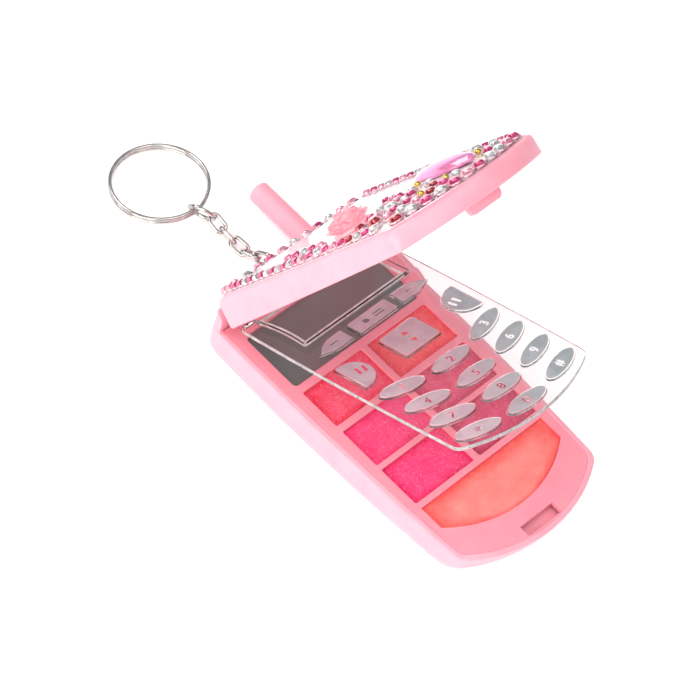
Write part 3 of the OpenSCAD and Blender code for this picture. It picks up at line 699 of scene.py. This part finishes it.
def petal(bm, seat, turn, half_angle, radius, height):
    """One cupped petal: it spreads from the middle, stands up and rolls its lip outwards."""
    across, along = 10, 8
    roll_from = 0.7
    grid = []
    for j in range(along + 1):
        v = j / along
        roll = max(0, (v - roll_from) / (1 - roll_from)) ** 2
        spread = radius * (0.3 + 0.7 * math.sin(v * math.pi / 2))
        stand = height * (1 - math.cos(v * math.pi / 2)) ** 0.75
        row = []
        for i in range(across + 1):
            u = 2 * i / across - 1
            r = spread + (0.5 * roll + 0.22 * u) * MM
            z = stand * (1 - 0.22 * abs(u) ** 3) - 0.35 * roll * MM
            a = turn + u * half_angle
            row.append(bm.verts.new(seat.world(r * math.cos(a), r * math.sin(a), z + 0.3 * MM)))
        grid.append(row)
    for low_row, high_row in zip(grid, grid[1:]):
        for i in range(across):
            bm.faces.new((low_row[i], low_row[i + 1], high_row[i + 1], high_row[i]))


def rose_petals(seat, reach, rise):
    """Layers of petals from the outside in, the outer ones lower and wider."""
    bm = bmesh.new()
    # petals, half their angle, radius and height of each layer
    layers = ((5, 0.78, 0.92, 0.42), (5, 0.8, 0.74, 0.62), (4, 0.95, 0.54, 0.8), (3, 1.2, 0.34, 0.93))
    for k, (count, half_angle, radius, height) in enumerate(layers):
        for i in range(count):
            turn = math.tau * i / count + k * 0.7 + dice.uniform(-0.08, 0.08)
            wide = reach * radius * dice.uniform(0.95, 1.02)
            petal(bm, seat, turn, half_angle, wide, rise * height * dice.uniform(0.94, 1.04))
    bmesh.ops.solidify(bm, geom=bm.faces[:], thickness=0.32 * MM)
    mesh = mesh_from(bm, "rose_petals", True)
    flower = new_object("rose_petals", mesh, ROSE, "lid", ("rose",))
    smooth = flower.modifiers.new("smooth", "SUBSURF")
    smooth.levels = smooth.render_levels = 1


def rose_bud(seat, rise):
    """The rolled middle petal: a sheet wound outwards that gets lower as it goes."""
    bm = bmesh.new()
    turns, steps, sides = 1.6, 40, 6
    foot = 0.25 * MM
    rows = []
    for k in range(steps + 1):
        t = k / steps
        a = t * turns * math.tau
        r = (0.15 + 0.75 * t) * MM
        tip = rise * (0.98 - 0.22 * t)
        levels = [foot + (tip - foot) * side / sides for side in range(sides + 1)]
        rows.append([bm.verts.new(seat.world(r * math.cos(a), r * math.sin(a), z)) for z in levels])
    for p, q in zip(rows, rows[1:]):
        for i in range(sides):
            bm.faces.new((p[i], q[i], q[i + 1], p[i + 1]))
    bmesh.ops.solidify(bm, geom=bm.faces[:], thickness=0.25 * MM)
    new_object("rose_bud", mesh_from(bm, "rose_bud", True), ROSE, "lid")


def rose_base(seat, reach):
    """The round foot that the petals stand on."""
    bm = bmesh.new()
    around = circle((0, 0), 0.82 * reach, 32)
    # scale and level in mm of each ring
    profile = ((1, 0), (1, 0.35), (0.9, 0.62), (0.5, 0.75))
    rings = [ring_of(bm, seat, around, grow, z * MM) for grow, z in profile]
    bm.faces.new(rings[0][::-1])
    skin(bm, rings)
    bm.faces.new(rings[-1])
    new_object("rose_base", mesh_from(bm, "rose_base", True), ROSE, "lid")


def set_rose():
    """A cast resin rose: layers of cupped petals round a rolled bud."""
    seat, outline, low, high = stone_seat(islands("rose")[0])
    reach = reach_of(outline)
    rise = ROSE_STRETCH * (high - low)
    seat.origin = seat.world(*centre_of(outline), low)
    rose_petals(seat, reach, rise)
    rose_bud(seat, rise)
    rose_base(seat, reach)


# ---------------------------------------------------------------- lip gloss


def fill_well(node):
    """Gloss in a well: a low meniscus at the wall and an uneven, slightly crowned top."""
    low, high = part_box(node)
    seat = Seat(Vector(((low.x + high.x) / 2, (low.y + high.y) / 2, 0)), Vector((0, 0, 1)))
    points = islands(node)[0]
    outline = tidy_outline(hull([seat.local(p)[:2] for p in points]), 0.12 * MM)
    bm = bmesh.new()
    # scale of each ring and its level in mm
    profile = ((1.0, -0.16), (0.99, -0.1), (0.975, -0.05), (0.95, -0.02), (0.9, 0), (0.8, 0.01),
               (0.7, 0.02), (0.58, 0.02), (0.45, 0.03), (0.3, 0.03), (0.15, 0.03))
    uneven = 0.012 * MM
    flat_inside = 0.95
    deep_outside = 0.6
    foot = ring_of(bm, seat, outline, 1.0, low.z)
    bm.faces.new(foot[::-1])
    last = foot
    top = high.z - 0.05 * MM
    for grow, z in profile:
        ring = ring_of(bm, seat, outline, grow, top + z * MM)
        for v in ring:
            if grow < flat_inside:
                v.co.z += dice.uniform(-uneven, uneven)
        bridge(bm, last, ring)
        last = ring
    bm.faces.new(last)
    mesh = mesh_from(bm, node + "_fill", True)
    layer = mesh.attributes.new("wall_near", "FLOAT", "POINT")
    rings = [1.0] + [grow for grow, _ in profile]
    for i, item in enumerate(layer.data):
        item.value = max(0, (rings[i // len(outline)] - deep_outside) / (1 - deep_outside))
    new_object(node + "_fill", mesh, GLOSS[node], "base", (node,))


# ---------------------------------------------------------------- keys


COVER_UP = Vector((0, math.sin(math.radians(COVER_OPEN)), math.cos(math.radians(COVER_OPEN))))


def key_seat(points):
    """Seat at the top of a key's foil, with its outline and thickness."""
    middle = sum(points, Vector()) / len(points)
    seat = Seat(middle, COVER_UP)
    flat = [seat.local(p) for p in points]
    top = max(z for _, _, z in flat)
    low = min(z for _, _, z in flat)
    seat.origin = seat.world(0, 0, low)
    return seat, hull([(x, y) for x, y, _ in flat]), top - low


def glyph_splines(text, size):
    """Outlines of one character of Blender's own font, centred, as lists of points."""
    font = bpy.data.curves.new("glyph", "FONT")
    font.body = text
    font.size = size
    font.offset = MARK_WEIGHT
    font.resolution_u = 3
    obj = bpy.data.objects.new("glyph", font)
    bpy.context.scene.collection.objects.link(obj)
    bpy.context.view_layer.update()
    flat = obj.to_mesh().copy()
    obj.to_mesh_clear()
    bpy.data.objects.remove(obj)
    edges = {}
    for polygon in flat.polygons:
        for a, b in polygon.edge_keys:
            edges[(a, b)] = edges.get((a, b), 0) + 1
    rim = [e for e, count in edges.items() if count == 1]
    after = {}
    for a, b in rim:
        after.setdefault(a, []).append(b)
        after.setdefault(b, []).append(a)
    loops, used = [], set()
    for start in sorted(after):
        if start in used:
            continue
        loop, here, before = [start], start, None
        used.add(start)
        while True:
            onward = [v for v in after[here] if v != before and v not in used]
            if not onward:
                break
            before, here = here, onward[0]
            used.add(here)
            loop.append(here)
        loops.append([flat.vertices[i].co.copy() for i in loop])
    points = [p for loop in loops for p in loop]
    cx = (min(p.x for p in points) + max(p.x for p in points)) / 2
    cy = (min(p.y for p in points) + max(p.y for p in points)) / 2
    bpy.data.meshes.remove(flat)
    return [[(p.x - cx, p.y - cy) for p in loop] for loop in loops if len(loop) > 2]


def turned(loop, angle):
    """A loop turned about its seat's origin."""
    c, s = math.cos(angle), math.sin(angle)
    return [(x * c - y * s, x * s + y * c) for x, y in loop]


def arrow(y, up):
    """A small triangle mark."""
    s = 1 if up else -1
    return [(-1.0 * MM, y - 0.65 * s * MM), (1.0 * MM, y - 0.65 * s * MM), (0, y + 1.0 * s * MM)]


def bar(x, y, w, h):
    """A small rounded bar mark."""
    r = min(w, h) / 2.4
    out = []
    for sx, sy, a0 in ((1, 1, 0), (-1, 1, 90), (-1, -1, 180), (1, -1, 270)):
        for k in range(4):
            a = math.radians(a0 + 30 * k)
            out.append((x + sx * (w / 2 - r) + r * math.cos(a), y + sy * (h / 2 - r) + r * math.sin(a)))
    return out


def strokes(turn):
    """Two parallel slanted strokes."""
    pair = [bar(side * 0.85 * MM, 0.3 * MM, 0.8 * MM, 2.7 * MM) for side in (-1, 1)]
    return [turned(loop, turn) for loop in pair]


def stamp(name, plates, stands_for):
    """Foil plates with cut-out marks. plates is a list of (seat, outline, thickness, marks)."""
    curve = bpy.data.curves.new(name, "CURVE")
    curve.dimensions = "2D"
    curve.fill_mode = "BOTH"
    seat0, thick = plates[0][0], plates[0][2]
    for seat, outline, _, marks in plates:
        shift = seat0.local(seat.origin)
        for loop in [outline] + marks:
            spline = curve.splines.new("POLY")
            spline.points.add(len(loop) - 1)
            for point, (x, y) in zip(spline.points, loop):
                point.co = (x + shift[0], y + shift[1], 0, 1)
            spline.use_cyclic_u = True
    rim = 0.03 * MM
    curve.extrude = thick / 2 - rim
    curve.bevel_depth = rim
    curve.bevel_resolution = 1
    curve.offset = -rim
    obj = bpy.data.objects.new(name, curve)
    bpy.context.scene.collection.objects.link(obj)
    basis = Matrix((seat0.u, seat0.v, seat0.n)).transposed().to_4x4()
    obj.matrix_world = Matrix.Translation(seat0.world(0, 0, thick / 2)) @ basis
    bpy.context.view_layer.update()
    mesh = bpy.data.meshes.new_from_object(obj.evaluated_get(bpy.context.evaluated_depsgraph_get()))
    mesh.transform(obj.matrix_world)
    mesh.name = name
    bpy.data.objects.remove(obj)
    new_object(name, mesh, FOIL, "cover", stands_for)


def number_keys():
    """Twelve oval number keys in rows of three."""
    plates = []
    for points in islands("number_keys"):
        seat, outline, thick = key_seat(points)
        plates.append([seat, outline, thick])
    columns = {-1: [], 0: [], 1: []}
    for plate in plates:
        x = plate[0].origin.x
        columns[-1 if x < -COLUMN_EDGE else 1 if x > COLUMN_EDGE else 0].append(plate)
    texts = {-1: "147*", 0: "2580", 1: "369#"}
    made = []
    for side, column in columns.items():
        column.sort(key=lambda p: -p[0].origin.y)
        for plate, text in zip(column, texts[side]):
            slant = math.radians(FIGURE_SLANT * side)
            size = 4.2 * MM if text == "*" else 3.2 * MM
            made.append((*plate, [turned(loop, slant) for loop in glyph_splines(text, size)]))
    stamp("number_key_foil", made, ("number_keys",))


def other_keys():
    """Navigation, call, end and soft keys with plain marks."""
    marks = {
        "nav_key": [arrow(1.7 * MM, True), arrow(-1.7 * MM, False)],
        "call_key": strokes(math.radians(-12)),
        "end_key": strokes(math.radians(12)),
        "left_soft_key": [bar(1.2 * MM, 0, 2.6 * MM, 0.5 * MM)],
        "right_soft_key": [bar(-1.2 * MM, 0, 2.6 * MM, 0.5 * MM)],
        "centre_soft_key": [bar(-2.1 * MM, 0, 1.6 * MM, 1.6 * MM),
                            bar(1.9 * MM, 0.5 * MM, 3.2 * MM, 0.5 * MM),
                            bar(1.9 * MM, -0.5 * MM, 3.2 * MM, 0.5 * MM)],
    }
    for node, shapes in marks.items():
        seat, outline, thick = key_seat(islands(node)[0])
        stamp(node + "_foil", [(seat, outline, thick, shapes)], (node,))


# ---------------------------------------------------------------- key ring


def split_ring():
    """Two turns of round wire that cross once, with both cut ends showing."""
    points = islands("split_ring")
    cloud = [p for group in points for p in group]
    centre = sum(cloud, Vector()) / len(cloud)
    spread = numpy.cov(numpy.array([tuple(p) for p in cloud]).T)
    normal = Vector(numpy.linalg.eigh(spread)[1][:, 0])
    seat = Seat(centre, normal if normal.z > 0 else -normal)
    wire = 0.5 * MM
    r = max((p - centre).length for p in cloud) - 1.08 * wire
    rise = 0.48 * MM
    # angle left open at either cut end, and where the ends lie
    gap = 0.34
    start = math.radians(-62)
    steps = 260
    curve = bpy.data.curves.new("split_ring_wire", "CURVE")
    curve.dimensions = "3D"
    curve.bevel_depth = wire
    curve.bevel_resolution = 5
    curve.use_fill_caps = True
    spline = curve.splines.new("POLY")
    spline.points.add(steps)
    for k in range(steps + 1):
        a = gap + (2 * math.tau - 2 * gap) * k / steps
        t = min(1, max(0, (a - math.tau + gap) / (2 * gap)))
        z = -rise + 2 * rise * t * t * (3 - 2 * t)
        p = seat.world(r * math.cos(a + start), r * math.sin(a + start), z)
        spline.points[k].co = (*p, 1)
    obj = bpy.data.objects.new("split_ring_wire", curve)
    bpy.context.scene.collection.objects.link(obj)
    bpy.context.view_layer.update()
    mesh = bpy.data.meshes.new_from_object(obj.evaluated_get(bpy.context.evaluated_depsgraph_get()))
    bpy.data.objects.remove(obj)
    for polygon in mesh.polygons:
        polygon.use_smooth = len(polygon.vertices) < 5
    new_object("split_ring_wire", mesh, CHROME, "ring", ("split_ring",))


# ---------------------------------------------------------------- finishes on CAD nodes


def frost_and_highlight_cover_edge():
    """Gives the outer edge of the clear sheet a cloudy finish whose pale colour is a painted highlight."""
    cover = NODES["clear_cover"].data
    cover.materials.append(CLEAR_EDGE_HIGHLIGHT)
    tilt = math.radians(COVER_OPEN)
    forward = Vector((0, -math.cos(tilt), math.sin(tilt)))
    reach = [polygon.center.dot(forward) for polygon in cover.polygons]
    level = [polygon.center.dot(COVER_UP) for polygon in cover.polygons]
    sheet_from = min(reach) + HINGE_ZONE
    sheet_low = min(h for h, along in zip(level, reach) if along > sheet_from)
    sheet_high = sheet_low + 1.1 * MM
    for polygon, along, height in zip(cover.polygons, reach, level):
        upright = abs(polygon.normal.dot(COVER_UP)) < 0.5
        in_sheet = along > sheet_from and height < sheet_high
        polygon.material_index = 1 if upright and in_sheet else 0


def band_sheet_edge():
    """Gives the rim of the pearl sheet, where the outer stones sit, the finish of their cups."""
    sheet = NODES["decor_sheet"].data
    sheet.materials.append(SETTING)
    seat = Seat(Vector(), LID_UP)
    rim = [Vector(p) for p in hull([seat.local(v.co)[:2] for v in sheet.vertices])]

    def inset(point):
        nearest = math.inf
        for a, b in zip(rim, rim[1:] + rim[:1]):
            along = max(0, min(1, (point - a).dot(b - a) / (b - a).length_squared))
            nearest = min(nearest, (point - a - (b - a) * along).length)
        return nearest

    for polygon in sheet.polygons:
        middle = Vector(seat.local(polygon.center)[:2])
        polygon.material_index = 1 if inset(middle) < BAND_WIDTH else 0


def finish_cad_nodes():
    """Materials and soft edges for the nodes that are shown as they are."""
    materials = {
        "case": PINK, "lid_shell": PINK, "antenna_handle": PINK, "palette_tray": TRAY,
        "mirror": MIRROR, "hinge_pins": STEEL, "gloss_vial": VIAL, "applicator_stem": WHITE,
        "sponge_tip": SPONGE, "clear_cover": CLEAR, "decor_sheet": PEARL, "jump_ring": CHROME,
    }
    for k in range(1, 7):
        materials[f"chain_link_{k}"] = CHROME
    for node, material in materials.items():
        paint(NODES[node], material)
    frost_and_highlight_cover_edge()
    band_sheet_edge()
    soften("case", 0.22, smooth=True)
    soften("palette_tray", 0.22)
    soften("lid_shell", 0.2, smooth=True)
    soften("clear_cover", 0.12)
    soften("mirror", 0.08)


# ---------------------------------------------------------------- stage


def floor():
    """Plain pale table."""
    bpy.ops.mesh.primitive_grid_add(x_subdivisions=8, y_subdivisions=8, size=3)
    table = bpy.context.object
    table.name = "floor"
    table.location = (0, 0, -0.02 * MM)
    f = Finish("pale_table")
    f.put("Base Color", f.mix(f.noise(40, 4), (0.93, 0.925, 0.925, 1), (0.9, 0.895, 0.9, 1)))
    f.put("Roughness", f.remap(f.noise(160), 0.3, 0.7, 0.6, 0.75))
    f.put("Emission Color", (1, 1, 1, 1))
    f.put("Emission Strength", 0.32)
    f.relief(f.noise(500, 4), 0.01, 0.3)
    paint(table, f.mat)


def world():
    """White to the camera; a studio with a bright top and darker sides for reflections."""
    scene_world = bpy.data.worlds.new("studio")
    bpy.context.scene.world = scene_world
    scene_world.use_nodes = True
    tree = scene_world.node_tree
    tree.nodes.clear()
    new = tree.nodes.new
    geometry = new("ShaderNodeTexCoord")
    split = new("ShaderNodeSeparateXYZ")
    tree.links.new(geometry.outputs["Generated"], split.inputs[0])
    ramp = new("ShaderNodeValToRGB")
    ramp.color_ramp.elements[0].position = 0.0
    ramp.color_ramp.elements[0].color = (0.5, 0.48, 0.48, 1)
    ramp.color_ramp.elements[1].position = 1.0
    ramp.color_ramp.elements[1].color = (1, 1, 1, 1)
    for position, tone in ((0.2, 0.55), (0.45, 0.8), (0.7, 0.95)):
        element = ramp.color_ramp.elements.new(position)
        element.color = (tone, tone, tone * 1.01, 1)
    tree.links.new(split.outputs["Z"], ramp.inputs[0])
    studio = new("ShaderNodeBackground")
    studio.inputs["Strength"].default_value = 0.55
    tree.links.new(ramp.outputs[0], studio.inputs["Color"])
    plain = new("ShaderNodeBackground")
    plain.inputs["Color"].default_value = (1, 1, 1, 1)
    plain.inputs["Strength"].default_value = 1.0
    path = new("ShaderNodeLightPath")
    both = new("ShaderNodeMixShader")
    out = new("ShaderNodeOutputWorld")
    tree.links.new(path.outputs["Is Camera Ray"], both.inputs[0])
    tree.links.new(studio.outputs[0], both.inputs[1])
    tree.links.new(plain.outputs[0], both.inputs[2])
    tree.links.new(both.outputs[0], out.inputs["Surface"])


def soft_light(name, place, size, watts, colour=(1.0, 0.945, 0.905), aim=(0, 0.01, 0.01)):
    """An area light aimed at the object."""
    data = bpy.data.lights.new(name, "AREA")
    data.shape = "RECTANGLE"
    data.size, data.size_y = size
    data.energy = watts
    data.color = colour
    obj = bpy.data.objects.new(name, data)
    obj.location = place
    obj.rotation_euler = (Vector(aim) - Vector(place)).to_track_quat("-Z", "Y").to_euler()
    bpy.context.scene.collection.objects.link(obj)


def lights():
    soft_light("key", (-0.7, -0.1, 0.25), (0.6, 0.4), 3.8, colour=(1.0, 0.92, 0.81))
    soft_light("top", (-0.1, -0.15, 0.75), (0.7, 0.7), 2.6)
    soft_light("front", (0.25, -0.7, 0.35), (0.5, 0.3), 0.8)
    soft_light("back", (-0.25, 0.6, 0.55), (0.6, 0.4), 3)


def camera():
    """Three-quarter view from above the near side, rolled a little to the left."""
    azimuth, elevation, roll = math.radians(-59.63), math.radians(54.69), math.radians(18.57)
    back = Vector((math.sin(azimuth) * math.cos(elevation),
                   -math.cos(azimuth) * math.cos(elevation),
                   math.sin(elevation)))
    level = Vector((math.cos(azimuth), math.sin(azimuth), 0))
    upright = back.cross(level)
    right = level * math.cos(roll) + upright * math.sin(roll)
    up = back.cross(right)
    data = bpy.data.cameras.new("camera")
    data.lens = 184.61
    data.sensor_width = 36
    data.clip_start = 0.01
    obj = bpy.data.objects.new("camera", data)
    basis = Matrix((right, up, back)).transposed().to_4x4()
    obj.matrix_world = Matrix.Translation((-0.42332, -0.22658, 0.69712)) @ basis
    bpy.context.scene.collection.objects.link(obj)
    bpy.context.scene.camera = obj


def picture():
    view = bpy.context.scene.view_settings
    view.view_transform = "Standard"
    view.look = "None"
    view.exposure = 0.0
    view.gamma = 1.0


set_stones()
set_beads()
set_cabochon()
set_rose()
for well in GLOSS:
    fill_well(well)
number_keys()
other_keys()
split_ring()
finish_cad_nodes()
floor()
world()
lights()
camera()
picture()
